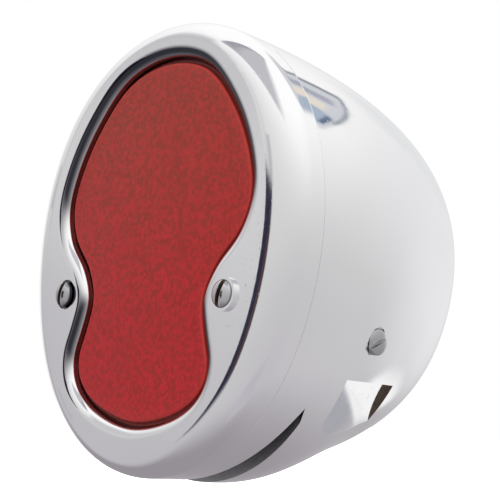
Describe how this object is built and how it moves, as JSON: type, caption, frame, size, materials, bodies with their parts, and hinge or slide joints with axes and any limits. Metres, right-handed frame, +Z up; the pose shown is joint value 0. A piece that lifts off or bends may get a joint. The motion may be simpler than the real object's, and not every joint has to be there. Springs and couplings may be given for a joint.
{
  "type": "motorcycle tail light",
  "caption": "Bullet-shaped polished tail light with a twin-lobe red lens in an oval bezel, a window below for the number plate, and bayonet bulbs.",
  "frame": {"origin": "centre of the flat rear pad that bolts to the machine", "axes": "+Y out of the rear pad, so the lens faces -Y; +Z up; +X to the right of someone who looks at the lens"},
  "size_m": [0.113, 0.1205, 0.1278],
  "materials": {
    "casting": "polished",
    "lens_red": "translucent red, finely mottled",
    "rubber": "matte",
    "screw_chrome": "worn bright",
    "zinc_steel": "zinc plated",
    "reflector": "bright pressed sheet",
    "window_clear": "clear",
    "brass": "bright",
    "bulb_glass": "clear",
    "fibre": "pressed fibre board",
    "base_glass": "black glass",
    "spring_steel": "drawn wire"
  },
  "bodies": {
    "housing_body": {"housing": "casting", "plate_window": "window_clear", "reflector_plate": "reflector", "socket_yoke": "zinc_steel", "wire_grommet": "rubber", "side_screw_left": "screw_chrome", "side_screw_right": "screw_chrome", "side_nut_left": "zinc_steel", "side_nut_right": "zinc_steel", "yoke_rivet_left": "brass", "yoke_rivet_right": "brass", "mount_stud_left": "zinc_steel", "mount_stud_right": "zinc_steel", "mount_washer_left": "zinc_steel", "mount_washer_right": "zinc_steel", "mount_nut_left": "zinc_steel", "mount_nut_right": "zinc_steel", "socket_upper": "zinc_steel", "socket_lower": "zinc_steel", "contact_spring_upper": "spring_steel", "contact_spring_lower": "spring_steel"},
    "bezel_assembly": {"bezel": "casting", "lens": "lens_red", "lens_gasket": "rubber", "bezel_screw_left": "screw_chrome", "bezel_screw_right": "screw_chrome"},
    "contact_body_upper": {"contact_carrier_upper": "fibre", "contact_upper": "brass"},
    "contact_body_lower": {"contact_carrier_lower": "fibre", "contact_lower": "brass"},
    "bulb_upper": {"bulb_cap_upper": "brass", "bulb_base_upper": "base_glass", "bulb_glass_upper": "bulb_glass"},
    "bulb_lower": {"bulb_cap_lower": "brass", "bulb_base_lower": "base_glass", "bulb_glass_lower": "bulb_glass"}
  },
  "joints": [
    {"name": "bezel_removal", "type": "slide", "parent": "housing_body", "child": "bezel_assembly", "axis": [0, -1, 0], "range_m": [0, 0.045]},
    {"name": "bulb_push_upper", "type": "slide", "parent": "housing_body", "child": "contact_body_upper", "axis": [0, 1, 0], "range_m": [0, 0.002], "stiffness_N_per_m": 1500, "springref_m": -0.003, "deforming": ["contact_spring_upper"]},
    {"name": "bulb_push_lower", "type": "slide", "parent": "housing_body", "child": "contact_body_lower", "axis": [0, 1, 0], "range_m": [0, 0.002], "stiffness_N_per_m": 1500, "springref_m": -0.003, "deforming": ["contact_spring_lower"]},
    {"name": "bulb_twist_upper", "type": "hinge", "parent": "contact_body_upper", "child": "bulb_upper", "pos_m": [0, -0.056, 0.018], "axis": [0, -1, 0], "range_deg": [0, 20]},
    {"name": "bulb_twist_lower", "type": "hinge", "parent": "contact_body_lower", "child": "bulb_lower", "pos_m": [0, -0.056, -0.036], "axis": [0, -1, 0], "range_deg": [0, 20]}
  ]
}
